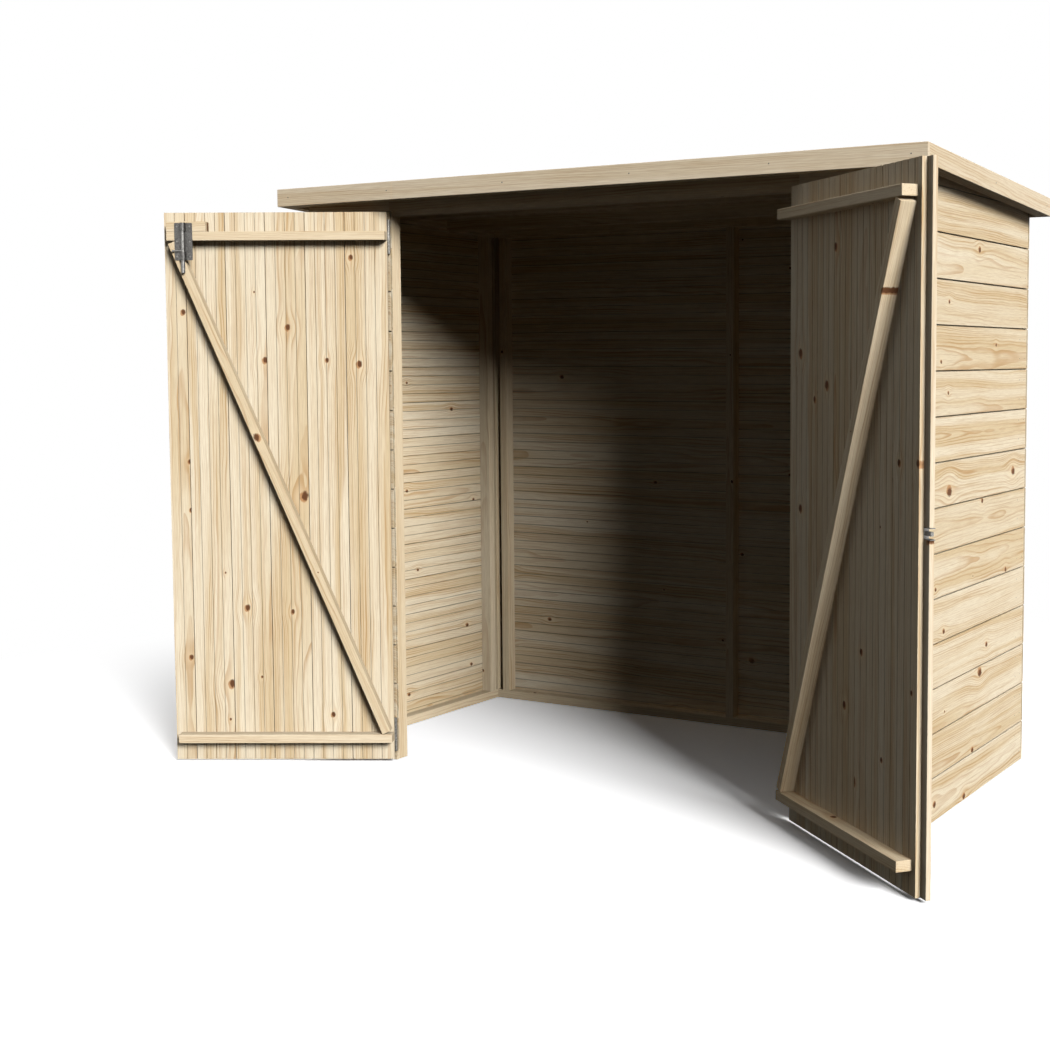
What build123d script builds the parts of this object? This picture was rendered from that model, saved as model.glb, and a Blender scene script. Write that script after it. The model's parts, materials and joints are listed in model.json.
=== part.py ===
"""Shiplap pent bike shelter with two hinged doors, built panel by panel in millimetres.

X runs to the right seen from the front, Y to the back and Z up. The origin is under the
middle of the back wall's bottom rail. Both doors stand open.
"""

import os
from math import atan2, cos, degrees, sin

from build123d import *

# walls
WIDTH = 1870.0          # over the cladding, left to right
DEPTH = 909.0           # over the cladding, front to back
CLAD_T = 12.0           # shiplap board thickness
TIMBER_W = 27.0         # framing timber, face width
TIMBER_D = 38.0         # framing timber, depth behind the cladding
CUT_GAP = 0.3           # sloped cut to the deck above it
BACK_STUD_IN = 32.5     # outer back studs' centres to the side framing
MIDDLE_STUD_X = 8.0
REAR_STUD_GAP = 12.0    # side wall's rear stud to its corner post

# roof
ROOF_FALL = 0.0476      # drop for each millimetre to the back
ROOF_TOP_Z = 1655.0     # top of the felt at the front fascia's face
DECK_T = 11.0
FELT_T = 2.0
FASCIA_H = 50.0
FASCIA_T = 12.0
FRONT_EAVES = 71.0      # front cladding to the fascia's face
SIDE_EAVES = 57.0
BACK_EAVES = 16.0
BEARER_H = 38.0
BEARER_BACK = (300.0, 600.0)    # each bearer behind the front cladding

# doorway
FRONT_PANEL_W = 297.5   # fixed cladding on each side of the doorway
HEADER_DROP = 73.0      # roof top at the fascia to the underside of the header cladding
HEADER_LIP = 14.0       # how far the header rail hangs below it as the door stop
HEADER_D = 30.0
STOP_GAP = 5.0          # closed door to the header rail

# doors
SIDE_GAP = 5.0          # closed door to its jamb
MEETING_GAP = 6.0       # between the closed doors
DOOR_BOTTOM_Z = 9.0
DOOR_TOP_GAP = 5.0
LEDGE_H = 25.0
LEDGE_END_GAP = 16.0    # ledge end to the door's free edge
TOP_LEDGE_DROP = 56.0   # door's top to the ledge's top
BOTTOM_LEDGE_RISE = 55.0    # door's foot to the ledge's underside
BRACE_W = 25.0
LEFT_OPEN = 150.3       # degrees from closed
RIGHT_OPEN = 140.2

# T hinges
PIN_R = 2.2
PIN_CLEAR = 0.1
KNUCKLE_R = 4.5
HINGE_OFFSET = 6.0      # pin axis in front of the cladding
HINGE_T = 2.0
HINGE_H = 96.0
PLATE_W = 34.0          # fixed plate on the cladding beside the doorway
STRAP_L = 300.0
STRAP_W = 34.0
STRAP_TIP_R = 9.0
STRAP_KNUCKLE_H = 35.0
KNUCKLE_GAP = 0.5

# cover strip and lock keep on the right door
COVER_W = 46.0
COVER_T = 12.0
COVER_LAP = 24.0        # strip past the door's free edge
KEEP_H = 26.0
KEEP_T = 1.6
KEEP_REACH = 4.0        # keep past the strip
TONGUE_H = 9.0
TONGUE_T = 7.0
TONGUE_SET = 2.0        # tongue behind the flanges' ends and the strip's back

# tower bolt on the left door
BOLT_IN = 65.0          # rod from the door's free edge
BOLT_R = 5.0
BOLT_CLEAR = 0.1
BOLT_RISE = 24.0        # plate's top above the ledge
BOLT_PLATE_W = 50.0
BOLT_PLATE_H = 104.0
BOLT_PLATE_T = 1.6
BOLT_PLATE_FILLET = 3.0
BOLT_DROP = 36.0        # rod below the plate when drawn back
SADDLE_WALL = 2.6
SADDLE_H = 23.0
ROD_GAP = 1.3           # rod to plate
ROD_CHAMFER = 0.8
HANDLE_R = 2.0
HANDLE_L = 30.0
HANDLE_GAP = 1.0        # handle above the lower saddle
BLOCK_W = 111.0         # packing block above the top ledge
BLOCK_H = 28.0

# levels and faces that follow from the sizes above
HALF_W = WIDTH / 2
BACK_Y = TIMBER_D / 2 + CLAD_T              # outer face of the back cladding
FRONT_Y = BACK_Y - DEPTH                    # outer face of the front cladding
FRAME_Y = FRONT_Y + CLAD_T                  # front of the framing
FRAME_BACK_Y = BACK_Y - CLAD_T              # back of the framing
BACK_RAIL_Y = FRAME_BACK_Y - TIMBER_D
SIDE_X = HALF_W - CLAD_T - TIMBER_D         # inner face of the side framing
OPEN_X = HALF_W - FRONT_PANEL_W              # face of the jamb
HEADER_Z = ROOF_TOP_Z - HEADER_DROP
FASCIA_Y = FRONT_Y - FRONT_EAVES
DECK_X = HALF_W + SIDE_EAVES - FASCIA_T
DECK_Y = FASCIA_Y + FASCIA_T
DECK_BACK_Y = BACK_Y + BACK_EAVES - FASCIA_T
UNDER_DECK = FELT_T + DECK_T + CUT_GAP      # depth of the wall tops below the felt
DOOR_X = OPEN_X - SIDE_GAP                  # a closed door's hinge edge
DOOR_W = DOOR_X - MEETING_GAP / 2
FREE_X = DOOR_X - DOOR_W                    # its free edge
DOOR_TOP_Z = HEADER_Z - DOOR_TOP_GAP
DOOR_H = DOOR_TOP_Z - DOOR_BOTTOM_Z
LEDGE_Y = FRAME_Y + TIMBER_D                # its ledges' inner face
LEDGE_L = DOOR_W - LEDGE_END_GAP
TOP_LEDGE_Z = DOOR_TOP_Z - TOP_LEDGE_DROP - LEDGE_H
BOTTOM_LEDGE_Z = DOOR_BOTTOM_Z + BOTTOM_LEDGE_RISE
PIN_X = OPEN_X - SIDE_GAP / 2
PIN_Y = FRONT_Y - HINGE_OFFSET
HINGE_Z = (BOTTOM_LEDGE_Z + LEDGE_H / 2, TOP_LEDGE_Z + LEDGE_H / 2)

CORNER = (Align.MIN, Align.MIN, Align.MIN)
pieces = {}


def roof_z(y, below=0.0):
    """Height at y, a given depth below the felt's top."""
    return ROOF_TOP_Z - ROOF_FALL * (y - FASCIA_Y) - below


def keep(name, part):
    """File a finished piece under its name."""
    part.label = name
    pieces[name] = part


def under_roof(x0, x1, y0, y1, below, height=None, z0=0.0):
    """Member whose top follows the roof, down to z0 or of a constant height."""
    if height is None:
        feet = [(y1, z0), (y0, z0)]
    else:
        feet = [(y1, roof_z(y1, below + height)), (y0, roof_z(y0, below + height))]
    with BuildPart() as member:
        with BuildSketch(Plane.YZ.offset(x0)):
            with BuildLine():
                Polyline((y0, roof_z(y0, below)), (y1, roof_z(y1, below)), *feet, close=True)
            make_face()
        extrude(amount=x1 - x0)
    return member.part


def left_copy(part):
    return mirror(part, about=Plane.YZ)


# side walls: the right one is drawn and the left one mirrors it
with BuildPart() as side_cladding:
    add(under_roof(HALF_W - CLAD_T, HALF_W, FRAME_Y, FRAME_BACK_Y, UNDER_DECK))

with BuildPart() as side_rails:
    with Locations((SIDE_X, FRAME_Y, 0)):
        Box(TIMBER_D, FRAME_BACK_Y - FRAME_Y, TIMBER_W, align=CORNER)
    add(under_roof(SIDE_X, SIDE_X + TIMBER_D, FRAME_Y, FRAME_BACK_Y, UNDER_DECK, height=TIMBER_W))

with BuildPart() as side_studs:
    rear_stud_y = BACK_RAIL_Y - REAR_STUD_GAP
    for start, end in (
        (FRAME_Y, FRAME_Y + TIMBER_W),
        (rear_stud_y - TIMBER_W, rear_stud_y),
        (BACK_RAIL_Y, FRAME_BACK_Y),
    ):
        add(under_roof(SIDE_X, SIDE_X + TIMBER_D, start, end, UNDER_DECK + TIMBER_W, z0=TIMBER_W))

for side, turn in (("right", lambda part: part), ("left", left_copy)):
    keep(f"{side}_wall_cladding", turn(side_cladding.part))
    keep(f"{side}_wall_rails", turn(side_rails.part))
    keep(f"{side}_wall_studs", turn(side_studs.part))

# back wall
BACK_TOP_Z = roof_z(FRAME_BACK_Y, UNDER_DECK)

with BuildPart() as back_wall_cladding:
    add(under_roof(-HALF_W, HALF_W, FRAME_BACK_Y, BACK_Y, UNDER_DECK))
keep("back_wall_cladding", back_wall_cladding.part)

with BuildPart() as back_wall_rails:
    with Locations((-SIDE_X, BACK_RAIL_Y, 0), (-SIDE_X, BACK_RAIL_Y, BACK_TOP_Z - TIMBER_W)):
        Box(2 * SIDE_X, TIMBER_D, TIMBER_W, align=CORNER)
keep("back_wall_rails", back_wall_rails.part)

with BuildPart() as back_wall_studs:
    outer_x = SIDE_X - BACK_STUD_IN
    with Locations([(x - TIMBER_W / 2, BACK_RAIL_Y, TIMBER_W) for x in (-outer_x, MIDDLE_STUD_X, outer_x)]):
        Box(TIMBER_W, TIMBER_D, BACK_TOP_Z - 2 * TIMBER_W, align=CORNER)
keep("back_wall_studs", back_wall_studs.part)

# front: a narrow panel on each side of the doorway and the header over it
FRONT_RAIL_Z = roof_z(LEDGE_Y, UNDER_DECK) - TIMBER_W

with BuildPart() as front_panel:
    add(under_roof(OPEN_X, HALF_W, FRONT_Y, FRAME_Y, UNDER_DECK))
keep("front_right_cladding", front_panel.part)
keep("front_left_cladding", left_copy(front_panel.part))

with BuildPart() as header_cladding:
    add(under_roof(-OPEN_X, OPEN_X, FRONT_Y, FRAME_Y, UNDER_DECK, z0=HEADER_Z))
keep("header_cladding", header_cladding.part)

with BuildPart() as front_bottom_rails:
    with Locations((OPEN_X + TIMBER_W, FRAME_Y, 0)):
        Box(SIDE_X - OPEN_X - 2 * TIMBER_W, TIMBER_D, TIMBER_W, align=CORNER)
    mirror(about=Plane.YZ)
keep("front_bottom_rails", front_bottom_rails.part)

with BuildPart() as front_corner_studs:
    with Locations((SIDE_X - TIMBER_W, FRAME_Y, 0)):
        Box(TIMBER_W, TIMBER_D, FRONT_RAIL_Z, align=CORNER)
    mirror(about=Plane.YZ)
keep("front_corner_studs", front_corner_studs.part)

with BuildPart() as jamb:
    with Locations((OPEN_X, FRAME_Y, 0)):
        Box(TIMBER_W, TIMBER_D, FRONT_RAIL_Z, align=CORNER)
keep("right_jamb", jamb.part)
keep("left_jamb", left_copy(jamb.part))

with BuildPart() as front_top_rail:
    with Locations((-SIDE_X, FRAME_Y, FRONT_RAIL_Z)):
        Box(2 * SIDE_X, TIMBER_D, TIMBER_W, align=CORNER)
keep("front_top_rail", front_top_rail.part)

with BuildPart() as header_packer:
    with Locations((-OPEN_X, FRAME_Y, HEADER_Z)):
        Box(2 * OPEN_X, STOP_GAP, FRONT_RAIL_Z - HEADER_Z, align=CORNER)
keep("header_packer", header_packer.part)

with BuildPart() as header_rail:
    with Locations((-OPEN_X, FRAME_Y + STOP_GAP, HEADER_Z - HEADER_LIP)):
        Box(2 * OPEN_X, HEADER_D, TIMBER_W, align=CORNER)
keep("header_rail", header_rail.part)

# roof
ROOF_X = DECK_X + FASCIA_T
BATTEN_H = FASCIA_H - UNDER_DECK

with BuildPart() as roof_deck:
    add(under_roof(-DECK_X, DECK_X, DECK_Y, DECK_BACK_Y, FELT_T, height=DECK_T))
keep("roof_deck", roof_deck.part)

with BuildPart() as roof_felt:
    add(under_roof(-DECK_X, DECK_X, DECK_Y, DECK_BACK_Y, 0, height=FELT_T))
keep("roof_felt", roof_felt.part)

with BuildPart() as roof_bearers:
    for back in BEARER_BACK:
        start = FRONT_Y + back
        add(under_roof(-SIDE_X, SIDE_X, start, start + TIMBER_W, UNDER_DECK, height=BEARER_H))
keep("roof_bearers", roof_bearers.part)

with BuildPart() as eaves_battens:
    side_start = DECK_Y + TIMBER_W
    add(under_roof(-DECK_X, DECK_X, DECK_Y, side_start - CUT_GAP, UNDER_DECK, height=BATTEN_H))
    side_batten = under_roof(DECK_X - TIMBER_W, DECK_X, side_start, DECK_BACK_Y, UNDER_DECK, height=BATTEN_H)
    add([side_batten, left_copy(side_batten)])
keep("eaves_battens", eaves_battens.part)

with BuildPart() as front_fascia:
    add(under_roof(-ROOF_X, ROOF_X, FASCIA_Y, DECK_Y, 0, height=FASCIA_H))
keep("front_fascia", front_fascia.part)

with BuildPart() as back_fascia:
    add(under_roof(-ROOF_X, ROOF_X, DECK_BACK_Y, DECK_BACK_Y + FASCIA_T, 0, height=FASCIA_H))
keep("back_fascia", back_fascia.part)

with BuildPart() as side_fascia:
    add(under_roof(DECK_X, ROOF_X, DECK_Y, DECK_BACK_Y, 0, height=FASCIA_H))
keep("right_fascia", side_fascia.part)
keep("left_fascia", left_copy(side_fascia.part))

# a door, drawn closed on the right
with BuildPart() as door_boards:
    with Locations((FREE_X, FRONT_Y, DOOR_BOTTOM_Z)):
        Box(DOOR_W, CLAD_T, DOOR_H, align=CORNER)

with BuildPart() as top_ledge:
    with Locations((DOOR_X - LEDGE_L, FRAME_Y, TOP_LEDGE_Z)):
        Box(LEDGE_L, TIMBER_D, LEDGE_H, align=CORNER)

with BuildPart() as bottom_ledge:
    with Locations((DOOR_X - LEDGE_L, FRAME_Y, BOTTOM_LEDGE_Z)):
        Box(LEDGE_L, TIMBER_D, LEDGE_H, align=CORNER)

# square-ended brace from the foot of the hinge side to the head of the free side;
# one corner of each end touches its ledge, the other lies over the ledge's end
BRACE_FOOT_Z = BOTTOM_LEDGE_Z + LEDGE_H
BRACE_RISE = TOP_LEDGE_Z - BRACE_FOOT_Z
diagonal = (LEDGE_L ** 2 + BRACE_RISE ** 2) ** 0.5
lean = atan2(LEDGE_L, BRACE_RISE) - atan2(BRACE_W, (diagonal ** 2 - BRACE_W ** 2) ** 0.5)
with BuildPart() as brace:
    with BuildSketch(Plane.XZ.offset(-FRAME_Y)):
        with Locations(Location((DOOR_X - LEDGE_L / 2, BRACE_FOOT_Z + BRACE_RISE / 2), degrees(lean))):
            Rectangle(BRACE_W, (BRACE_RISE - BRACE_W * sin(lean)) / cos(lean))
    extrude(amount=-TIMBER_D)

# T hinges: the fixed plate carries the two outer knuckles and the pin
OUTER_KNUCKLE_H = (HINGE_H - STRAP_KNUCKLE_H) / 2 - KNUCKLE_GAP

with BuildPart() as hinge_plates:
    for hinge_z in HINGE_Z:
        low_z = hinge_z - HINGE_H / 2
        for knuckle_z in (low_z, low_z + HINGE_H - OUTER_KNUCKLE_H):
            with Locations((PIN_X, PIN_Y, knuckle_z)):
                Cylinder(KNUCKLE_R, OUTER_KNUCKLE_H, align=(Align.CENTER, Align.CENTER, Align.MIN))
                Box(KNUCKLE_R, HINGE_OFFSET, OUTER_KNUCKLE_H, align=CORNER)
        with Locations((PIN_X + KNUCKLE_R, FRONT_Y - HINGE_T, low_z)):
            Box(OPEN_X + PLATE_W - PIN_X - KNUCKLE_R, HINGE_T, HINGE_H, align=CORNER)
        with Locations((PIN_X, PIN_Y, hinge_z)):
            Cylinder(PIN_R, HINGE_H)
keep("right_hinge_plates", hinge_plates.part)
keep("left_hinge_plates", left_copy(hinge_plates.part))

# the strap tapers to a round tip and its middle knuckle turns on the pin
with BuildPart() as hinge_straps:
    for hinge_z in HINGE_Z:
        tip_x = DOOR_X - STRAP_L + STRAP_TIP_R
        with BuildSketch(Plane.XZ.offset(-FRONT_Y)):
            with BuildLine():
                Polyline((tip_x, hinge_z + STRAP_TIP_R), (DOOR_X, hinge_z + STRAP_W / 2),
                         (DOOR_X, hinge_z - STRAP_W / 2), (tip_x, hinge_z - STRAP_TIP_R))
                RadiusArc((tip_x, hinge_z - STRAP_TIP_R), (tip_x, hinge_z + STRAP_TIP_R), STRAP_TIP_R)
            make_face()
        extrude(amount=HINGE_T)
        with Locations((PIN_X, PIN_Y, hinge_z)):
            Cylinder(KNUCKLE_R, STRAP_KNUCKLE_H)
            Box(KNUCKLE_R, HINGE_OFFSET, STRAP_KNUCKLE_H, align=(Align.MAX, Align.MIN, Align.CENTER))
        with Locations((PIN_X, PIN_Y, hinge_z)):
            Cylinder(PIN_R + PIN_CLEAR, STRAP_KNUCKLE_H, mode=Mode.SUBTRACT)

# cover strip on the outside of the right door's free edge, notched for the lock keep
COVER_X = FREE_X - COVER_LAP
KEEP_Z = DOOR_BOTTOM_Z + DOOR_H / 2
KEEP_LOW_Z = KEEP_Z - KEEP_H / 2
KEEP_X = COVER_X - KEEP_REACH

with BuildPart() as cover_strip:
    with Locations((COVER_X, FRONT_Y - COVER_T, DOOR_BOTTOM_Z)):
        Box(COVER_W, COVER_T, DOOR_H, align=CORNER)
    with Locations((COVER_X, FRONT_Y - COVER_T, KEEP_LOW_Z)):
        Box(COVER_LAP, COVER_T, KEEP_H, align=CORNER, mode=Mode.SUBTRACT)

with BuildPart() as lock_keep:
    with BuildSketch(Plane.XZ.offset(-FRONT_Y)):
        with BuildLine():
            Polyline((KEEP_X, KEEP_LOW_Z), (FREE_X, KEEP_LOW_Z),
                     (FREE_X, KEEP_LOW_Z + KEEP_H), (KEEP_X, KEEP_LOW_Z + KEEP_H))
            offset(amount=KEEP_T, side=Side.LEFT)
        make_face()
    extrude(amount=COVER_T)
    with Locations((KEEP_X + TONGUE_SET, FRONT_Y - TONGUE_SET - TONGUE_T, KEEP_Z - TONGUE_H / 2)):
        Box(FREE_X - KEEP_T - KEEP_X - TONGUE_SET, TONGUE_T, TONGUE_H, align=CORNER)

# tower bolt inside the free edge: plate, two saddles, rod and handle
BOLT_X = FREE_X + BOLT_IN
PLATE_Y = LEDGE_Y + BOLT_PLATE_T
ROD_Y = PLATE_Y + ROD_GAP + BOLT_R
SADDLE_R = BOLT_R + SADDLE_WALL
PLATE_TOP_Z = TOP_LEDGE_Z + LEDGE_H + BOLT_RISE
BOLT_Z = PLATE_TOP_Z - BOLT_PLATE_H
ROD_L = BOLT_PLATE_H + BOLT_DROP

with BuildPart() as bolt_block:
    with Locations((FREE_X + LEDGE_END_GAP, FRAME_Y, TOP_LEDGE_Z + LEDGE_H)):
        Box(BLOCK_W, TIMBER_D, BLOCK_H, align=CORNER)

with BuildPart() as bolt_case:
    with BuildSketch(Plane.XZ.offset(-PLATE_Y)):
        with Locations((BOLT_X, BOLT_Z + BOLT_PLATE_H / 2)):
            RectangleRounded(BOLT_PLATE_W, BOLT_PLATE_H, BOLT_PLATE_FILLET)
    extrude(amount=BOLT_PLATE_T)
    for saddle_z in (BOLT_Z, PLATE_TOP_Z - SADDLE_H):
        with BuildSketch(Plane.XY.offset(saddle_z)):
            with Locations((BOLT_X, ROD_Y)):
                Circle(SADDLE_R)
                Rectangle(2 * SADDLE_R, ROD_Y - PLATE_Y, align=(Align.CENTER, Align.MAX))
                Circle(BOLT_R + BOLT_CLEAR, mode=Mode.SUBTRACT)
        extrude(amount=SADDLE_H)

with BuildPart() as bolt_rod:
    with Locations((BOLT_X, ROD_Y, BOLT_Z - BOLT_DROP)):
        Cylinder(BOLT_R, ROD_L, align=(Align.CENTER, Align.CENTER, Align.MIN))
    chamfer(bolt_rod.edges().filter_by(GeomType.CIRCLE), ROD_CHAMFER)
    with BuildSketch(Plane.YZ.offset(BOLT_X - HANDLE_L)):
        with Locations((ROD_Y, BOLT_Z + SADDLE_H + HANDLE_GAP + HANDLE_R)):
            Circle(HANDLE_R)
    extrude(amount=HANDLE_L)

# both doors turn open about their hinge pins
right_pin = Axis((PIN_X, PIN_Y, 0), (0, 0, 1))
left_pin = Axis((-PIN_X, PIN_Y, 0), (0, 0, 1))
door = {"door_boards": door_boards, "top_ledge": top_ledge, "bottom_ledge": bottom_ledge,
        "brace": brace, "hinge_straps": hinge_straps}
for name, closed in door.items():
    keep(f"left_{name}", left_copy(closed.part).rotate(left_pin, -LEFT_OPEN))
    keep(f"right_{name}", closed.part.rotate(right_pin, RIGHT_OPEN))
for name, closed in {"bolt_block": bolt_block, "bolt_case": bolt_case, "bolt_rod": bolt_rod}.items():
    keep(name, left_copy(closed.part).rotate(left_pin, -LEFT_OPEN))
for name, closed in {"cover_strip": cover_strip, "lock_keep": lock_keep}.items():
    keep(name, closed.part.rotate(right_pin, RIGHT_OPEN))

os.makedirs("parts", exist_ok=True)
for name, part in pieces.items():
    export_step(part, f"parts/{name}.step")
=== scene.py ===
"""Bike shelter: shiplap boards, framing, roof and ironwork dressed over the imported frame.

Everything is in metres in the frame's own axes. A timber is drawn along local x, across
local y and through local z, takes the grain of its own log, and is then put in its place.
Door pieces are drawn closed on the right and swung open about their pins.
"""

import json
import random
from math import atan2, cos, pi, radians, sin

import bmesh
import bpy
from mathutils import Matrix, Vector


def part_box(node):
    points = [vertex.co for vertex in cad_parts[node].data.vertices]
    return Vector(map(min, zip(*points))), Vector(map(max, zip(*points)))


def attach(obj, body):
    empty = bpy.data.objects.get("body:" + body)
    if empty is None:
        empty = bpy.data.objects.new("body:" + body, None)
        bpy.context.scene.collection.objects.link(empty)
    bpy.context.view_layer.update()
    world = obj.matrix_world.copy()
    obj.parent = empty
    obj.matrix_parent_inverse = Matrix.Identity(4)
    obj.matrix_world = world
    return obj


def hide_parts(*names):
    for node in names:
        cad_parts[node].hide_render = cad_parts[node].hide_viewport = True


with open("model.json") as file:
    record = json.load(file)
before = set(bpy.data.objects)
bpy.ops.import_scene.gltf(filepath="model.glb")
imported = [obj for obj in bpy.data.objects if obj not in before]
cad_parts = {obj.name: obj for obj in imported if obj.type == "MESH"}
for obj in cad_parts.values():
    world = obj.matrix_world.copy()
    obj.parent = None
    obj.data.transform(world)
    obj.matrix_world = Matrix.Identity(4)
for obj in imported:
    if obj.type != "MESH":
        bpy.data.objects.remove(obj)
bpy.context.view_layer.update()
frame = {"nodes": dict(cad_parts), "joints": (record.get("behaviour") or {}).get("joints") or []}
log = random.Random(7)
X, Y, Z = Vector((1, 0, 0)), Vector((0, 1, 0)), Vector((0, 0, 1))
MIRROR = Matrix.Scale(-1, 4, X)

# walls, read from the frame
HALF_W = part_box("right_wall_cladding")[1].x
FRONT_Y, FRAME_Y = (corner.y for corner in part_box("front_right_cladding"))
FRAME_BACK_Y, BACK_Y = (corner.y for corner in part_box("back_wall_cladding"))
OPEN_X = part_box("front_right_cladding")[0].x
HEADER_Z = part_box("header_cladding")[0].z
HEADER_H = 0.06         # before it is cut to the roof
CLAD_T = FRAME_Y - FRONT_Y
TIMBER_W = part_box("right_jamb")[1].x - OPEN_X
LEDGE_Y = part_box("right_jamb")[1].y
TIMBER_D = LEDGE_Y - FRAME_Y
SIDE_X = HALF_W - CLAD_T - TIMBER_D
BACK_RAIL_Y = FRAME_BACK_Y - TIMBER_D
REAR_STUD_Y = BACK_RAIL_Y - 0.012
BACK_STUD_X = SIDE_X - 0.0325
BACK_STUDS = (-BACK_STUD_X, 0.008, BACK_STUD_X)

# roof
FASCIA_Y, DECK_Y = (corner.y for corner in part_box("front_fascia"))
DECK_BACK_Y, ROOF_BACK_Y = (corner.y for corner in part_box("back_fascia"))
ROOF_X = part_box("front_fascia")[1].x
DECK_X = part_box("right_fascia")[0].x
ROOF_TOP_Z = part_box("front_fascia")[1].z
ROOF_FALL = (ROOF_TOP_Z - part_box("back_fascia")[1].z) / (DECK_BACK_Y - FASCIA_Y)
FELT_T, DECK_T, CUT_GAP = 0.002, 0.011, 0.0003
UNDER_DECK = FELT_T + DECK_T + CUT_GAP
FASCIA_H = 0.050
BEARER_H = 0.038
BEARER_BACK = (0.300, 0.600)
DECK_BOARD, DECK_SEAM = 0.098, 0.0008
DECK_SLIVER = 0.01      # a deck board isn't left narrower

# shiplap
COVER = 0.113           # a board's cover width
LAP = 0.008             # tongue behind the next board's lip
SEAM = 0.0036           # open joint on the face
LIP_T = 0.0058          # lip in front of the tongue
TONGUE_CLEAR = 0.0002
RELIEF = 0.0022         # width of the relief grooves on the inner face
RELIEF_D = 0.0018
RELIEFS = 4             # divisions of the inner face
ARRIS = 0.0007
END_GAP = 0.0002
SLIVER = 0.001          # a board isn't left narrower
GROOVE_PAINTED_SHADE = {"wall": 0.50, "left": 0.36, "right": 0.85}      # painted shade in the grooves of walls and doors, darkest on the right door, which stands in shade

# doors
PINS = {side: Vector(joint["pos_m"]) for side in ("left", "right")
        for joint in frame["joints"] if joint["name"] == f"{side}_door_swing"}
LEFT_OPEN, RIGHT_OPEN = radians(150.3), radians(140.2)
DOOR_GAP, MEETING_GAP = 0.005, 0.003
DOOR_X = OPEN_X - DOOR_GAP
DOOR_W = DOOR_X - MEETING_GAP
FREE_X = DOOR_X - DOOR_W
DOOR_Z, DOOR_TOP_Z = 0.009, HEADER_Z - DOOR_GAP
LEDGE_H, LEDGE_INSET = 0.025, 0.016
LEDGE_L = DOOR_W - LEDGE_INSET
TOP_LEDGE_Z = DOOR_TOP_Z - 0.056 - LEDGE_H
BOTTOM_LEDGE_Z = DOOR_Z + 0.055
BRACE_FOOT_Z = BOTTOM_LEDGE_Z + LEDGE_H
BRACE_W = 0.025
BLOCK_X, BLOCK_Z = FREE_X + LEDGE_INSET, TOP_LEDGE_Z + LEDGE_H
BLOCK_W, BLOCK_H = 0.111, 0.028
COVER_X, COVER_W, COVER_T = FREE_X - 0.024, 0.046, 0.012
KEEP_H = 0.026
KEEP_Z = (DOOR_Z + DOOR_TOP_Z) / 2
BOLT_X = FREE_X + 0.065
PLATE_TOP_Z = BLOCK_Z + 0.024
PLATE_W, PLATE_H = 0.050, 0.104
PLATE_Y = LEDGE_Y + 0.0016
PLATE_SCREW_IN, PLATE_SCREW_DOWN, PLATE_SCREW_R = 0.007, 0.010, 0.0030
ROD_Y = LEDGE_Y + 0.0079
HANDLE_Z, HANDLE_L, KNOB_R = PLATE_TOP_Z - 0.078, 0.030, 0.0034
LEDGE_MIDDLES = (TOP_LEDGE_Z + LEDGE_H / 2, BOTTOM_LEDGE_Z + LEDGE_H / 2)
HINGE_T = 0.002
STRAP_SCREWS = (0.045, 0.115, 0.195, 0.275)     # from the door's hinge edge
HINGE_PLATE_X, HINGE_PLATE_SCREWS = OPEN_X + 0.016, (-0.034, 0.0, 0.034)
HINGE_CLEAR = 0.055     # no cladding nail so near a hinge's middle

# nails
NAIL_PARTS = (0.25, 0.72)       # up a board's cover
WALL_ROWS = 14
LEDGE_NAIL_RISE, DOOR_NAILS = 0.021, 5
FELT_NAIL = {"radius": 0.005, "rise": 0.0009}
FELT_NAIL_IN, FELT_NAIL_FRONT = 0.02, 0.035
FASCIA_NAIL_IN, FASCIA_NAIL_R = 0.03, 0.0018
FASCIA_NAILS = (-0.97, -0.6, -0.2, 0.2, 0.6, 0.97)      # shares of the deck's half width

# studio
FLOOR_MIDDLE, FLOOR_FADE = 0.5, (1.5, 3.0)      # the fade's centre in front, its radii
SKY_LIGHT = 0.035
PHOTO = 1050
CAMERA_PLACE = Vector((2.29609, -4.49815, 1.15969))
YAW, PITCH, ROLL = radians(30.2550), radians(4.2931), radians(-0.1881)
AXIS_AT = (640, 480)    # where the lens axis meets the photograph

# timber
KNOT_NAMES = ("knot_a", "knot_b", "knot_c", "knot_d")
NO_KNOT = (-9.0, -9.0, 0.0005)  # far outside every timber
KNOT_RATE = 1.1                 # chance knots to the metre
KNOT_SIZES = (0.0022, 0.003, 0.0042, 0.0055, 0.007)
FULL_KNOTS_W = 0.06             # narrower timbers have smaller knots
PLANED_ARRIS, ROUGH_ARRIS, STRIP_ARRIS = 0.0012, 0.0015, 0.001
SAW_PITCH = 0.0034
GRIT, SPANGLE = 620.0, 420.0    # cells to the metre

# knots that show: across the door from its hinge edge or along the wall, height, radius
LEFT_DOOR_KNOTS = (
    (.085, 1.147, .0074), (.104, 1.448, .0057), (.176, 1.159, .0049), (.176, .138, .0057),
    (.287, 1.252, .0066), (.249, .770, .0105), (.287, .438, .0054), (.353, 1.159, .0069),
    (.379, 1.353, .0023), (.418, .449, .0071), (.379, .249, .0029), (.468, .227, .0092),
    (.478, .552, .0023), (.473, .125, .0029), (.583, 1.296, .0063), (.575, .871, .0046),
    (.574, .732, .0046), (.583, .306, .0057), (.521, 1.535, .0050))
RIGHT_DOOR_KNOTS = (
    (.241, 1.415, .0070), (.058, 1.171, .0085), (.199, 1.096, .0085), (.135, 1.062, .0060),
    (.060, .795, .0075), (.545, .935, .0060), (.462, .790, .0020), (.626, .938, .0065),
    (.297, .359, .0070), (.345, .192, .0090), (.476, .272, .0045), (.378, .497, .0060),
    (.606, .448, .0040))
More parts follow.
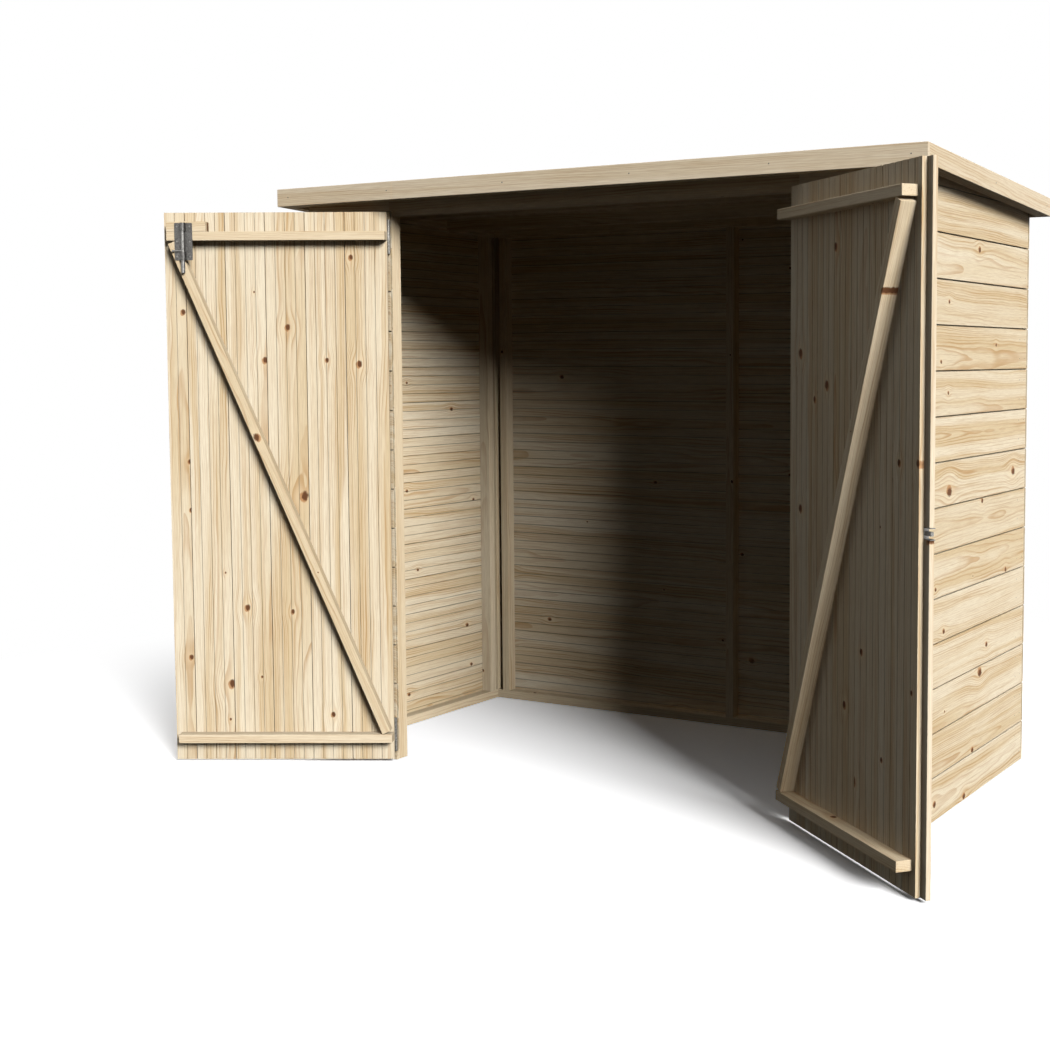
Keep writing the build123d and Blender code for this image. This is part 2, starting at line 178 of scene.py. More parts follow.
RIGHT_WALL_KNOTS = (
    (.461, 1.443, .0070), (.232, 1.301, .0045), (.609, 1.196, .0042), (.177, 1.152, .0045),
    (.232, 1.074, .0045), (.773, .847, .0104), (.245, .828, .0125), (.507, .783, .0060),
    (.717, .575, .0060), (.154, .588, .0045), (.439, .588, .0020), (.216, .475, .0060),
    (.558, .389, .0065), (.503, .323, .0110), (.230, .267, .0026), (.450, .122, .0070),
    (.386, .012, .0075), (.161, .044, .0075))
LEFT_WALL_KNOTS = (
    (.649, .999, .0057), (.416, 1.088, .0036), (.409, .744, .0045), (.766, .690, .0045),
    (.460, .485, .0039), (.722, .268, .0060), (.744, .130, .0051), (.406, .087, .0054))

# the same on the smaller timbers: along, across, radius
LEDGE_KNOTS = {("right", "bottom"): [(.347, .012, .0065)]}
BRACE_KNOTS = {"left": [(.918, .014, .0085), (.50, .018, .0018)],
               "right": [(1.315, .001, .0055), (.98, .012, .0014)]}
# a knot right at the block's right end, which darkens its end face
BLOCK_KNOTS = [(BLOCK_W - 0.001, .015, .0062)]
STRIP_KNOTS = [(.77, .006, .007)]


class Socket:
    """A node's output that reads as a number in an expression."""

    def __init__(self, finish, out):
        self.finish, self.out = finish, out

    def maths(self, operation, other=None, turned=False):
        first, second = (other, self) if turned else (self, other)
        values = {0: first} if second is None else {0: first, 1: second}
        return self.finish.node("ShaderNodeMath", {"operation": operation}, values)

    def __add__(self, other):
        return self.maths("ADD", other)

    def __sub__(self, other):
        return self.maths("SUBTRACT", other)

    def __rsub__(self, other):
        return self.maths("SUBTRACT", other, turned=True)

    def __mul__(self, other):
        return self.maths("MULTIPLY", other)

    def __truediv__(self, other):
        return self.maths("DIVIDE", other)

    def __pow__(self, other):
        return self.maths("POWER", other)

    __radd__, __rmul__ = __add__, __mul__


class Finish:
    """The nodes of a material or a world, made from expressions."""

    def __init__(self, owner, ending="ShaderNodeOutputMaterial"):
        owner.use_nodes = True
        self.owner, self.tree = owner, owner.node_tree
        self.tree.nodes.clear()
        self.output = self.tree.nodes.new(ending)

    def node(self, kind, settings=None, values=None, output=0):
        """A new node: its settings first, then the values or links of its sockets."""
        made = self.tree.nodes.new(kind)
        for name, setting in (settings or {}).items():
            setattr(made, name, setting)
        for key, value in (values or {}).items():
            if isinstance(value, Socket):
                self.tree.links.new(value.out, made.inputs[key])
            else:
                made.inputs[key].default_value = value
        return Socket(self, made.outputs[output])

    def attribute(self, name, output="Vector"):
        return self.node("ShaderNodeAttribute", {"attribute_name": name}, output=output)

    def place(self):
        return self.node("ShaderNodeTexCoord", output="Object")

    def split(self, vector):
        parts = self.node("ShaderNodeSeparateXYZ", values={0: vector}).out.node
        return [Socket(self, out) for out in parts.outputs]

    def join(self, x, y, z):
        return self.node("ShaderNodeCombineXYZ", values={0: x, 1: y, 2: z})

    def noise(self, vector, scale=1.0, detail=2.0, roughness=0.5):
        return self.node("ShaderNodeTexNoise", values={
            "Vector": vector, "Scale": scale, "Detail": detail, "Roughness": roughness})

    def cells(self, vector, scale, output="Distance"):
        return self.node("ShaderNodeTexVoronoi", values={"Vector": vector, "Scale": scale},
                         output=output)

    def step(self, value, start, end, low=0.0, high=1.0):
        """Rises smoothly from low to high while the value goes from start to end."""
        return self.node("ShaderNodeMapRange", {"interpolation_type": "SMOOTHSTEP"},
                         {0: value, 1: start, 2: end, 3: low, 4: high})

    def mix(self, share, first, second):
        return self.node("ShaderNodeMix", {"data_type": "RGBA"},
                         {0: share, 6: first, 7: second}, output=2)

    def seen(self):
        """One for what the camera sees, straight or in a shine, and none for other light."""
        straight, shine = (self.node("ShaderNodeLightPath", output=kind)
                           for kind in ("Is Camera Ray", "Is Glossy Ray"))
        return straight.maths("MAXIMUM", shine)

    def ends_in(self, shader):
        self.tree.links.new(shader.out, self.output.inputs["Surface"])
        return self.owner

    def surface(self, values, height=None, depth=0.0004, strength=0.5):
        """Principled shader on the output, with a bump where a height is given."""
        if height is not None:
            values["Normal"] = self.node("ShaderNodeBump", values={
                "Strength": strength, "Distance": depth, "Height": height})
        return self.ends_in(self.node("ShaderNodeBsdfPrincipled", values=values))


def colour(red, green, blue):
    """A colour as it is seen on a screen, from 0 to 255, made linear."""
    def linear(value):
        value /= 255
        return value / 12.92 if value <= 0.04045 else ((value + 0.055) / 1.055) ** 2.4
    return (linear(red), linear(green), linear(blue), 1.0)


def pine(name, pale, tan, ring_gap=0.0052, contrast=1.0, saw_marks=0.05):
    """Pressure treated pine: rings round a pith, fibre, board tints, knots, and painted shade in
    the grooves.
    """
    f = Finish(bpy.data.materials.new(name))
    along, across, depth = f.split(f.attribute("grain"))
    tone, groove = f.attribute("tone", "Fac"), f.attribute("groove", "Fac")

    def drawn_out(lengthwise, crosswise, detail=1.0):
        """Noise that is drawn out along the timber."""
        return f.noise(f.join(along * lengthwise, across * crosswise, depth * crosswise),
                       detail=detail)

    rough_edge = drawn_out(90.0, 240.0) - 0.5
    bend, core, dark_side, halo = 0.0, 0.0, 0.0, 0.0
    for knot in KNOT_NAMES:
        knot_along, knot_across, size = f.split(f.attribute(knot))
        du, dv = (along - knot_along) * 0.72 / size, (across - knot_across) / size
        far = du * du + dv * dv
        near = (far * -0.055).maths("EXPONENT")
        bend = bend + dv * size * near * 0.8
        halo = (near ** 3.0).maths("MAXIMUM", halo)
        ragged = far + rough_edge * 1.1
        core = f.step(ragged, 1.55, 0.75).maths("MAXIMUM", core)
        dark_side = f.step(ragged + dv * 0.8 - du * 0.5, 1.10, 0.10).maths("MAXIMUM", dark_side)

    swerve = across - bend + (drawn_out(1.5, 8.0) - 0.5) * 0.034
    swell = (drawn_out(5.5, 22.0) - 0.5) * 0.0095
    from_pith = (swerve * swerve + depth * depth).maths("SQRT") + along * 0.009 + swell
    width = f.noise(f.join(from_pith * 120.0, tone * 7.0, along * 0.3), detail=1.0)
    ring = (from_pith / ring_gap + width * 1.8).maths("FRACT")
    late = f.step(ring, 0.45, 0.92) * f.step(ring, 1.0, 0.95)
    bands = f.noise(f.join(along * 0.7, from_pith * 42.0, tone * 9.0), detail=2.0)
    fibre = drawn_out(22.0, 1300.0, detail=2.0)
    streak = drawn_out(3.0, 210.0, detail=2.0)
    blotch = f.noise(f.join(along * 4.0, across * 18.0, depth * 18.0 + tone * 5.0), detail=1.0)
    saw = (along * (2 * pi / SAW_PITCH)).maths("SINE") * f.step(blotch, 0.5, 0.66)
    flame = f.step(blotch, 0.35, 0.65, 0.25, 0.8).maths("MAXIMUM", halo ** 0.12)
    late_share = late * f.step(bands, 0.34, 0.60, 0.30, 0.95) * flame * (0.95 * contrast)

    wood = f.mix(f.step(bands, 0.40, 0.68), pale, tan)
    for share, tint in (
            (f.step(tone, 0.1, 1.0, 0.0, 0.36), colour(228, 204, 163)),
            (late_share, colour(196, 146, 88)),
            (f.step(streak, 0.54, 0.76, 0.0, 0.50 * contrast), colour(204, 168, 118)),
            (f.step(streak, 0.44, 0.24, 0.0, 0.30), colour(255, 244, 218)),
            (f.step(fibre, 0.60, 0.36, 0.0, 0.26), colour(182, 148, 104)),
            (f.step(saw, 0.0, 1.0, 0.0, saw_marks), colour(190, 160, 116)),
            (halo * 0.5, colour(250, 226, 186)),
            (core * 0.82, colour(196, 138, 86)),
            (dark_side * 0.90, colour(92, 52, 28)),
            # painted shade in the grooves and open joints
            (groove, colour(72, 56, 39))):
        wood = f.mix(share, wood, tint)
    return f.surface({"Base Color": wood, "Roughness": f.step(late, 0.0, 1.0, 0.74, 0.66),
                      "Specular IOR Level": 0.2}, fibre, depth=0.0004, strength=0.5)


def felt():
    """Green mineral roofing felt: coarse granules over soft undulations."""
    f = Finish(bpy.data.materials.new("felt"))
    place = f.place()
    grit, wave = f.cells(place, GRIT), f.noise(place, 5.0, 3.0)
    speck = f.split(f.cells(place, GRIT, output="Color"))[0]
    shade = f.mix(f.step(speck, 0.1, 0.9), colour(62, 76, 64), colour(104, 116, 98))
    shade = f.mix(f.step(speck, 0.86, 0.92), shade, colour(150, 156, 142))
    shade = f.mix(f.step(wave, 0.35, 0.75, 0.0, 0.35), shade, colour(54, 62, 55))
    return f.surface({"Base Color": shade, "Roughness": 0.92, "Specular IOR Level": 0.2},
                     grit * -1.0 + wave * 0.5, depth=0.0012, strength=0.8)


def zinc(name, pale, dark, roughness):
    """Galvanised or zinc plated steel with a soft spangle and handling marks."""
    f = Finish(bpy.data.materials.new(name))
    place = f.place()
    spangle = f.split(f.cells(place, SPANGLE, output="Color"))[0]
    smear = f.noise(place, 90.0, 4.0)
    metal = f.mix(f.step(spangle, 0.0, 1.0), dark, pale)
    metal = f.mix(f.step(smear, 0.52, 0.70, 0.0, 0.35), metal, colour(112, 108, 100))
    return f.surface({"Base Color": metal, "Metallic": 0.85,
                      "Roughness": f.step(smear, 0.3, 0.7, roughness - 0.08, roughness + 0.12)},
                     smear, depth=0.0002, strength=0.25)


CLADDING = pine("cladding_pine", colour(255, 241, 213), colour(236, 213, 173))
BATTEN = pine("planed_batten", colour(252, 234, 202), colour(240, 219, 182),
              contrast=0.75, saw_marks=0.02)
TRIM = pine("planed_trim", colour(250, 234, 206), colour(238, 219, 186),
            contrast=0.7, saw_marks=0.02)
DECK = pine("rough_deck", colour(240, 221, 184), colour(226, 202, 160),
            ring_gap=0.0046, saw_marks=0.14)
FELT = felt()
GALVANISED = zinc("galvanised_steel", colour(118, 116, 113), colour(86, 84, 81), 0.44)
BOLT_ZINC = zinc("bright_rod", colour(160, 158, 154), colour(136, 134, 130), 0.34)
HINGE_ZINC = zinc("hinge_steel", colour(176, 172, 164), colour(138, 134, 127), 0.46)
SCREW_ZINC = zinc("screw_steel", colour(128, 125, 120), colour(104, 101, 96), 0.34)


def new_timber():
    """An empty mesh whose vertices carry grain, tone and knots."""
    bm = bmesh.new()
    for name in ("grain", *KNOT_NAMES):
        bm.verts.layers.float_vector.new(name)
    bm.verts.layers.float.new("tone")
    bm.verts.layers.float.new("groove")
    return bm


def roof_z(y, below=0.0):
    return ROOF_TOP_Z - ROOF_FALL * (y - FASCIA_Y) - below


def season(bm, verts, knots):
    """Cuts these vertices' timber from its own place in a log."""
    shift = Vector((log.uniform(0, 30), log.uniform(-0.07, 0.07), log.uniform(0.015, 0.08)))
    tone = log.random()
    grain, tint = bm.verts.layers.float_vector["grain"], bm.verts.layers.float["tone"]
    held = [(x + shift.x, y + shift.y, size) for x, y, size in knots][:len(KNOT_NAMES)]
    held += [NO_KNOT] * (len(KNOT_NAMES) - len(held))
    for v in verts:
        v[grain], v[tint] = v.co + shift, tone
        for name, knot in zip(KNOT_NAMES, held):
            v[bm.verts.layers.float_vector[name]] = knot


def wild_knots(length, width, rate=KNOT_RATE):
    """Knots by chance, so many to the metre."""
    count = min(len(KNOT_NAMES) - 1, int(length * rate + log.random()))
    return [(log.uniform(0.03, length - 0.03), log.uniform(0.1, 0.9) * width,
             log.choice(KNOT_SIZES) * min(1.0, width / FULL_KNOTS_W))
            for _ in range(count)]


def placed(origin, along, across, depth):
    """Where a piece goes that is drawn along x, across y and through z."""
    return Matrix.Translation(origin) @ Matrix((along, across, depth)).transposed().to_4x4()


def extrude_outline(bm, outline, way):
    """A solid from a flat outline of points, pushed out by a vector."""
    face = bm.faces.new([bm.verts.new(point) for point in outline])
    pushed = bmesh.ops.extrude_face_region(bm, geom=[face], use_keep_orig=True)
    tips = [v for v in pushed["geom"] if isinstance(v, bmesh.types.BMVert)]
    bmesh.ops.translate(bm, vec=way, verts=tips)
    return list(face.verts) + tips


def shiplap_outline(cover, square_foot=False, square_head=False):
    """A board's section: across from the lip, and in from the face."""
    def cut(y, z):
        return Vector((0, y, z))
    head = cover if square_head else cover - SEAM
    points = [cut(ARRIS, 0), cut(head - ARRIS, 0), cut(head, ARRIS)]
    inner = cover
    if not square_head:
        inner = cover + LAP - RELIEF
        tongue = LIP_T + TONGUE_CLEAR
        points += [cut(head, tongue), cut(inner, tongue)]
    points.append(cut(inner, CLAD_T))
    for groove in range(RELIEFS - 1, 0, -1):
        middle = LAP - RELIEF / 2 + groove * COVER / RELIEFS
        if middle < inner - 2 * RELIEF:
            points += [cut(middle + share * RELIEF, CLAD_T - sunk) for share, sunk in (
                (0.5, 0), (0.25, RELIEF_D), (-0.25, RELIEF_D), (-0.5, 0))]
    if square_foot:
        points += [cut(0, CLAD_T)]
    else:
        points += [cut(LAP, CLAD_T), cut(LAP, LIP_T), cut(0, LIP_T)]
    points.append(cut(0, ARRIS))
    return points


def board_wall(place, length, height, knots=None, square=False, shade=GROOVE_PAINTED_SHADE["wall"]):
    """Shiplap boards side by side, in their place; square ones end flush with the height."""
    bm = new_timber()
    groove = bm.verts.layers.float["groove"]
    start = 0.0
    while start < height - SLIVER:
        cover = min(COVER, height - start)
        outline = shiplap_outline(cover if square else COVER, square_foot=start == 0,
                                  square_head=square and start + COVER >= height)
        verts = extrude_outline(bm, outline, Vector((length, 0, 0)))
        for v in verts:
            # vertices sunk behind the face, in the grooves and joints, carry painted shade
            v[groove] = shade * (ARRIS < v.co.z < CLAD_T - RELIEF_D / 2)
        if knots is None:
            held = wild_knots(length, COVER)
        else:
            held = [(u, v - start, size) for u, v, size in knots if start <= v < start + COVER]
        season(bm, verts, held)
        bmesh.ops.transform(bm, matrix=place @ Matrix.Translation((0, start, 0)), verts=verts)
        start += cover
    return bm


def trim(bm, point, normal):
    """Cuts off what lies beyond a plane and closes the cut."""
    cut = bmesh.ops.bisect_plane(bm, geom=bm.verts[:] + bm.edges[:] + bm.faces[:],
                                 plane_co=point, plane_no=normal, clear_outer=True)
    rims = [e for e in cut["geom_cut"] if isinstance(e, bmesh.types.BMEdge)]
    if rims:
        bmesh.ops.edgeloop_fill(bm, edges=rims)


def trim_to_roof(bm, below=UNDER_DECK):
    trim(bm, Vector((0, FASCIA_Y, roof_z(FASCIA_Y, below))), Vector((0, ROOF_FALL, 1)))


TURNS = {"x": (0, 1, 2), "y": (1, 2, 0), "z": (2, 0, 1)}


def batten(bm, low, high, way, knots=None, arris=PLANED_ARRIS, rate=KNOT_RATE):
    """A planed length between two corners, with its grain along x, y or z."""
    turn = TURNS[way]
    size = Vector([high[axis] - low[axis] for axis in turn])
    place = placed(low, *((X, Y, Z)[axis] for axis in turn))
    return loose_batten(bm, size, place, knots, arris, rate)


def loose_batten(bm, size, place, knots=None, arris=PLANED_ARRIS, rate=KNOT_RATE):
    """A planed length of this size, set by a matrix."""
    before = set(bm.verts)
    cube = bmesh.ops.create_cube(bm, size=1.0, matrix=Matrix.Diagonal((*size, 1))
                                 @ Matrix.Translation((0.5, 0.5, 0.5)))
    edges = {e for v in cube["verts"] for e in v.link_edges}
    bmesh.ops.bevel(bm, geom=list(edges), offset=arris, offset_type="OFFSET", segments=2,
                    profile=0.5, affect="EDGES", material=-1)
    verts = [v for v in bm.verts if v not in before]
    season(bm, verts, wild_knots(size.x, size.y, rate) if knots is None else knots)
    bmesh.ops.transform(bm, matrix=place, verts=verts)
    return verts


def slope(verts):
    """Heights that were measured from the felt's top become real ones."""
    for v in verts:
        v.co.z += roof_z(v.co.y)


def show(name, data):
    """An object in the scene."""
    shown = bpy.data.objects.new(name, data)
    bpy.context.scene.collection.objects.link(shown)
    return shown


def to_object(name, bm, finish):
    """What was drawn, as an object with its material."""
    mesh = bpy.data.meshes.new(name)
    bm.to_mesh(mesh)
    bm.free()
    mesh.materials.append(finish)
    return show(name, mesh)


def make(name, bm, finish, body, nodes=(), smooth=False):
    """The finished piece: outward faces, its material, its body and what it stands for."""
    bmesh.ops.recalc_face_normals(bm, faces=bm.faces)
    piece = to_object(name, bm, finish)
    if smooth:
        faces = piece.data.polygons
        faces.foreach_set("use_smooth", [True] * len(faces))
    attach(piece, body)
    if nodes:
        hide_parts(*nodes)
    return piece


WALL_H = roof_z(FRONT_Y, UNDER_DECK)


def clad(name, node, place, length, height=WALL_H, knots=None):
    """Boards of a wall, cut to the roof."""
    bm = board_wall(place, length, height, knots)
    trim_to_roof(bm)
    make(name, bm, CLADDING, "shed", [node])


# side walls, back wall, front panels and header
for side, turn, knots in (("right", 1, RIGHT_WALL_KNOTS), ("left", -1, LEFT_WALL_KNOTS)):
    clad(f"{side}_wall_boards", f"{side}_wall_cladding",
         placed((turn * HALF_W, FRAME_Y + END_GAP, 0), Y, Z, -turn * X),
         FRAME_BACK_Y - FRAME_Y - 2 * END_GAP, knots=knots)

clad("back_wall_boards", "back_wall_cladding", placed((-HALF_W, BACK_Y, 0), X, Z, -Y),
     2 * HALF_W, roof_z(BACK_Y, UNDER_DECK))

for side, start in (("right", OPEN_X), ("left", -HALF_W)):
    clad(f"front_{side}_boards", f"front_{side}_cladding", placed((start, FRONT_Y, 0), X, Z, Y),
         HALF_W - OPEN_X)

clad("header_board", "header_cladding", placed((-OPEN_X + END_GAP, FRONT_Y, HEADER_Z), X, Z, Y),
     2 * (OPEN_X - END_GAP), HEADER_H)

# wall framing
for side, turn in (("right", 1), ("left", -1)):
    near, far = sorted((turn * SIDE_X, turn * (SIDE_X + TIMBER_D)))
    bm = new_timber()
    batten(bm, (near, FRAME_Y, 0), (far, FRAME_BACK_Y, TIMBER_W), "y")
    slope(batten(bm, (near, FRAME_Y, -UNDER_DECK - TIMBER_W),
                 (far, FRAME_BACK_Y, -UNDER_DECK), "y"))
    make(f"{side}_side_rails", bm, BATTEN, "shed", [f"{side}_wall_rails"])

    bm = new_timber()
    for start, end in ((FRAME_Y, FRAME_Y + TIMBER_W), (REAR_STUD_Y - TIMBER_W, REAR_STUD_Y),
                       (BACK_RAIL_Y, FRAME_BACK_Y)):
        batten(bm, (near, start, TIMBER_W), (far, end, WALL_H), "z", rate=0.9)
    trim_to_roof(bm, UNDER_DECK + TIMBER_W)
    make(f"{side}_side_studs", bm, BATTEN, "shed", [f"{side}_wall_studs"])

BACK_TOP_Z = roof_z(FRAME_BACK_Y, UNDER_DECK)
bm = new_timber()
for z in (0, BACK_TOP_Z - TIMBER_W):
    batten(bm, (-SIDE_X, BACK_RAIL_Y, z), (SIDE_X, FRAME_BACK_Y, z + TIMBER_W), "x")
make("back_rails", bm, BATTEN, "shed", ["back_wall_rails"])

bm = new_timber()
for x in BACK_STUDS:
    batten(bm, (x - TIMBER_W / 2, BACK_RAIL_Y, TIMBER_W),
           (x + TIMBER_W / 2, FRAME_BACK_Y, BACK_TOP_Z - TIMBER_W), "z")
make("back_studs", bm, BATTEN, "shed", ["back_wall_studs"])

FRONT_RAIL_Z = roof_z(LEDGE_Y, UNDER_DECK) - TIMBER_W
bm, corners = new_timber(), new_timber()
for turn in (1, -1):
    near, far = sorted((turn * (OPEN_X + TIMBER_W), turn * (SIDE_X - TIMBER_W)))
    batten(bm, (near, FRAME_Y, 0), (far, LEDGE_Y, TIMBER_W), "x")
    near, far = sorted((turn * (SIDE_X - TIMBER_W), turn * SIDE_X))
    batten(corners, (near, FRAME_Y, 0), (far, LEDGE_Y, FRONT_RAIL_Z), "z")
make("front_foot_rails", bm, BATTEN, "shed", ["front_bottom_rails"])
make("front_corner_posts", corners, BATTEN, "shed", ["front_corner_studs"])

for node, way in (("left_jamb", "z"), ("right_jamb", "z"), ("front_top_rail", "x"),
                  ("header_packer", "x"), ("header_rail", "x")):
    bm = new_timber()
    batten(bm, *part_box(node), way)
    make(f"{node}_timber", bm, BATTEN, "shed", [node])

# roof
bm = new_timber()
x = -DECK_X
while x < DECK_X - DECK_SLIVER:
    end = min(x + DECK_BOARD, DECK_X)
    slope(batten(bm, (x + DECK_SEAM / 2, DECK_Y, -FELT_T - DECK_T),
                 (end - DECK_SEAM / 2, DECK_BACK_Y, -FELT_T), "y", arris=ROUGH_ARRIS, rate=0.8))
    x = end
make("deck_boards", bm, DECK, "shed", ["roof_deck"])

bm = new_timber()
for back in BEARER_BACK:
    start = FRONT_Y + back
    slope(batten(bm, (-SIDE_X, start, -UNDER_DECK - BEARER_H),
                 (SIDE_X, start + TIMBER_W, -UNDER_DECK), "x"))
make("bearers", bm, BATTEN, "shed", ["roof_bearers"])

bm = new_timber()
side_start = DECK_Y + TIMBER_W
slope(batten(bm, (-DECK_X, DECK_Y, -FASCIA_H), (DECK_X, side_start - CUT_GAP, -UNDER_DECK), "x"))
for near, far in ((DECK_X - TIMBER_W, DECK_X), (-DECK_X, TIMBER_W - DECK_X)):
    slope(batten(bm, (near, side_start, -FASCIA_H), (far, DECK_BACK_Y, -UNDER_DECK), "y"))
make("roof_edge_battens", bm, BATTEN, "shed", ["eaves_battens"])

for node, low, high, way in (
        ("front_fascia", (-ROOF_X, FASCIA_Y), (ROOF_X, DECK_Y), "x"),
        ("back_fascia", (-ROOF_X, DECK_BACK_Y), (ROOF_X, ROOF_BACK_Y), "x"),
        ("right_fascia", (DECK_X, DECK_Y), (ROOF_X, DECK_BACK_Y), "y"),
        ("left_fascia", (-ROOF_X, DECK_Y), (-DECK_X, DECK_BACK_Y), "y")):
    bm = new_timber()
    slope(batten(bm, (*low, -FASCIA_H), (*high, 0), way, rate=0.5))
    make(f"{node}_board", bm, TRIM, "shed", [node])

# doors, drawn closed on the right
SWINGS = {}
for side, angle in (("right", RIGHT_OPEN), ("left", -LEFT_OPEN)):
    pin = Vector((PINS[side].x, PINS[side].y, 0))
    SWINGS[side] = (Matrix.Translation(pin) @ Matrix.Rotation(angle, 4, "Z")
                    @ Matrix.Translation(-pin))
SWINGS["left"] = SWINGS["left"] @ MIRROR


def hang(name, bm, side, nodes=(), finish=BATTEN, smooth=False, body=None):
    """A door piece, swung from where it was drawn to where its door stands."""
    bmesh.ops.transform(bm, matrix=SWINGS[side], verts=bm.verts)
    return make(name, bm, finish, body or f"{side}_door", nodes, smooth)


# the brace goes from corner to corner between the ledges
brace_rise = TOP_LEDGE_Z - BRACE_FOOT_Z
diagonal = (LEDGE_L ** 2 + brace_rise ** 2) ** 0.5
lean = atan2(LEDGE_L, brace_rise) - atan2(BRACE_W, (diagonal ** 2 - BRACE_W ** 2) ** 0.5)
brace_length = (brace_rise - BRACE_W * sin(lean)) / cos(lean)
up, over = Vector((-sin(lean), 0, cos(lean))), Vector((cos(lean), 0, sin(lean)))
brace_middle = Vector((DOOR_X - LEDGE_L / 2, FRAME_Y, BRACE_FOOT_Z + brace_rise / 2))
brace_place = placed(brace_middle - up * brace_length / 2 - over * BRACE_W / 2, up, over, Y)

for side, knots in (("left", LEFT_DOOR_KNOTS), ("right", RIGHT_DOOR_KNOTS)):
    held = [(z - DOOR_Z, across, size) for across, z, size in knots]
    bm = board_wall(placed((DOOR_X, FRONT_Y, DOOR_Z), Z, -X, Y), DOOR_TOP_Z - DOOR_Z, DOOR_W,
                    held, square=True, shade=GROOVE_PAINTED_SHADE[side])
    hang(f"{side}_door_planks", bm, side, [f"{side}_door_boards"], CLADDING)
    for level, z in (("top", TOP_LEDGE_Z), ("bottom", BOTTOM_LEDGE_Z)):
        bm = new_timber()
        batten(bm, (DOOR_X - LEDGE_L, FRAME_Y, z), (DOOR_X, LEDGE_Y, z + LEDGE_H), "x",
               LEDGE_KNOTS.get((side, level)), rate=1.5)
        hang(f"{side}_door_{level}_ledge", bm, side, [f"{side}_{level}_ledge"])
    bm = new_timber()
    loose_batten(bm, Vector((brace_length, BRACE_W, TIMBER_D)), brace_place, BRACE_KNOTS[side])
    hang(f"{side}_door_brace", bm, side, [f"{side}_brace"])

bm = new_timber()
batten(bm, (BLOCK_X, FRAME_Y, BLOCK_Z), (BLOCK_X + BLOCK_W, LEDGE_Y, BLOCK_Z + BLOCK_H), "x",
       BLOCK_KNOTS)
hang("bolt_packing", bm, "left", ["bolt_block"])

# cover strip, notched for the keep
bm = new_timber()
top, notch = DOOR_TOP_Z - DOOR_Z, FREE_X - COVER_X
low, high = (KEEP_Z + turn * KEEP_H / 2 - DOOR_Z for turn in (-1, 1))
extrude_outline(bm, [Vector((*point, 0)) for point in (
    (0, 0), (low, 0), (low, notch), (high, notch), (high, 0), (top, 0), (top, COVER_W),
    (0, COVER_W))], Vector((0, 0, COVER_T)))
bmesh.ops.bevel(bm, geom=bm.edges[:], offset=STRIP_ARRIS, offset_type="OFFSET", segments=2,
                profile=0.5, affect="EDGES", material=-1)
season(bm, bm.verts, STRIP_KNOTS)
bmesh.ops.transform(bm, verts=bm.verts,
                    matrix=placed((COVER_X, FRONT_Y - COVER_T, DOOR_Z), Z, X, Y))
hang("cover_strip_timber", bm, "right", ["cover_strip"], TRIM)


def facing(point, way):
    """A place whose local z looks along way."""
    return Matrix.Translation(point) @ way.to_track_quat("Z", "Y").to_matrix().to_4x4()


def screw(bm, place, radius=0.0040, rise=0.0009):
    """A cross recessed screw head that faces local z."""
    before = set(bm.verts)
    bmesh.ops.create_cone(bm, cap_ends=True, segments=16, radius1=radius, radius2=radius * 0.72,
                          depth=rise, matrix=Matrix.Translation((0, 0, rise / 2)))

    def top_faces():
        return {f for v in bm.verts if v not in before for f in v.link_faces if f.normal.z > 0.99}

    half_slot, reach = radius * 0.11, radius * 0.45
    for axis in (X, Y):
        for offset in (-reach, -half_slot, half_slot, reach):
            faces = top_faces()
            edges = {e for f in faces for e in f.edges}
            corners = {v for f in faces for v in f.verts}
            bmesh.ops.bisect_plane(bm, geom=[*faces, *edges, *corners],
                                   plane_co=axis * offset, plane_no=axis)
            bm.normal_update()
    cross = []
    for f in top_faces():
        near, far = sorted(abs(way) for way in f.calc_center_median().xy)
        if near < half_slot and far < reach:
            cross.append(f)
    sunk = bmesh.ops.extrude_face_region(bm, geom=cross)
    bmesh.ops.translate(bm, vec=(0, 0, -rise * 0.7),
                        verts=[v for v in sunk["geom"] if isinstance(v, bmesh.types.BMVert)])
    bmesh.ops.transform(bm, matrix=place, verts=[v for v in bm.verts if v not in before])


def nail(bm, point, way, radius=0.0013, rise=0.0003):
    """A small flat nail head that looks along way."""
    bmesh.ops.create_cone(
        bm, cap_ends=True, segments=8, radius1=radius, radius2=radius * 0.8, depth=rise,
        matrix=facing(point, way) @ Matrix.Translation((0, 0, rise / 2)))


# nails through the wall boards into the framing, clear of the hinges
RISES = [row * COVER + part * COVER for row in range(WALL_ROWS) for part in NAIL_PARTS]
bm = bmesh.new()
for z in RISES:
    for turn in (1, -1):
        for y in (FRAME_Y + TIMBER_W / 2, REAR_STUD_Y - TIMBER_W / 2, FRAME_BACK_Y - TIMBER_D / 2):
            nail(bm, (turn * HALF_W, y, z), turn * X)
        nail(bm, (turn * (SIDE_X - TIMBER_W / 2), FRONT_Y, z), -Y)
        if all(abs(z - middle) > HINGE_CLEAR for middle in LEDGE_MIDDLES):
            nail(bm, (turn * (OPEN_X + TIMBER_W / 2), FRONT_Y, z), -Y)
    for x in BACK_STUDS:
        nail(bm, (x, BACK_Y, z), Y)
make("cladding_nails", bm, GALVANISED, "shed")

bm = bmesh.new()
for x in [DECK_X * share / 10 for share in range(-9, 10)]:
    for y in (FASCIA_Y + FELT_NAIL_FRONT, DECK_BACK_Y - FELT_NAIL_IN):
        nail(bm, (x, y, roof_z(y)), Z, **FELT_NAIL)
for y in [DECK_Y + (DECK_BACK_Y - DECK_Y) * share / 9 for share in range(1, 9)]:
    for x in (DECK_X - FELT_NAIL_IN, FELT_NAIL_IN - DECK_X):
        nail(bm, (x, y, roof_z(y)), Z, **FELT_NAIL)
make("felt_nails", bm, GALVANISED, "shed")

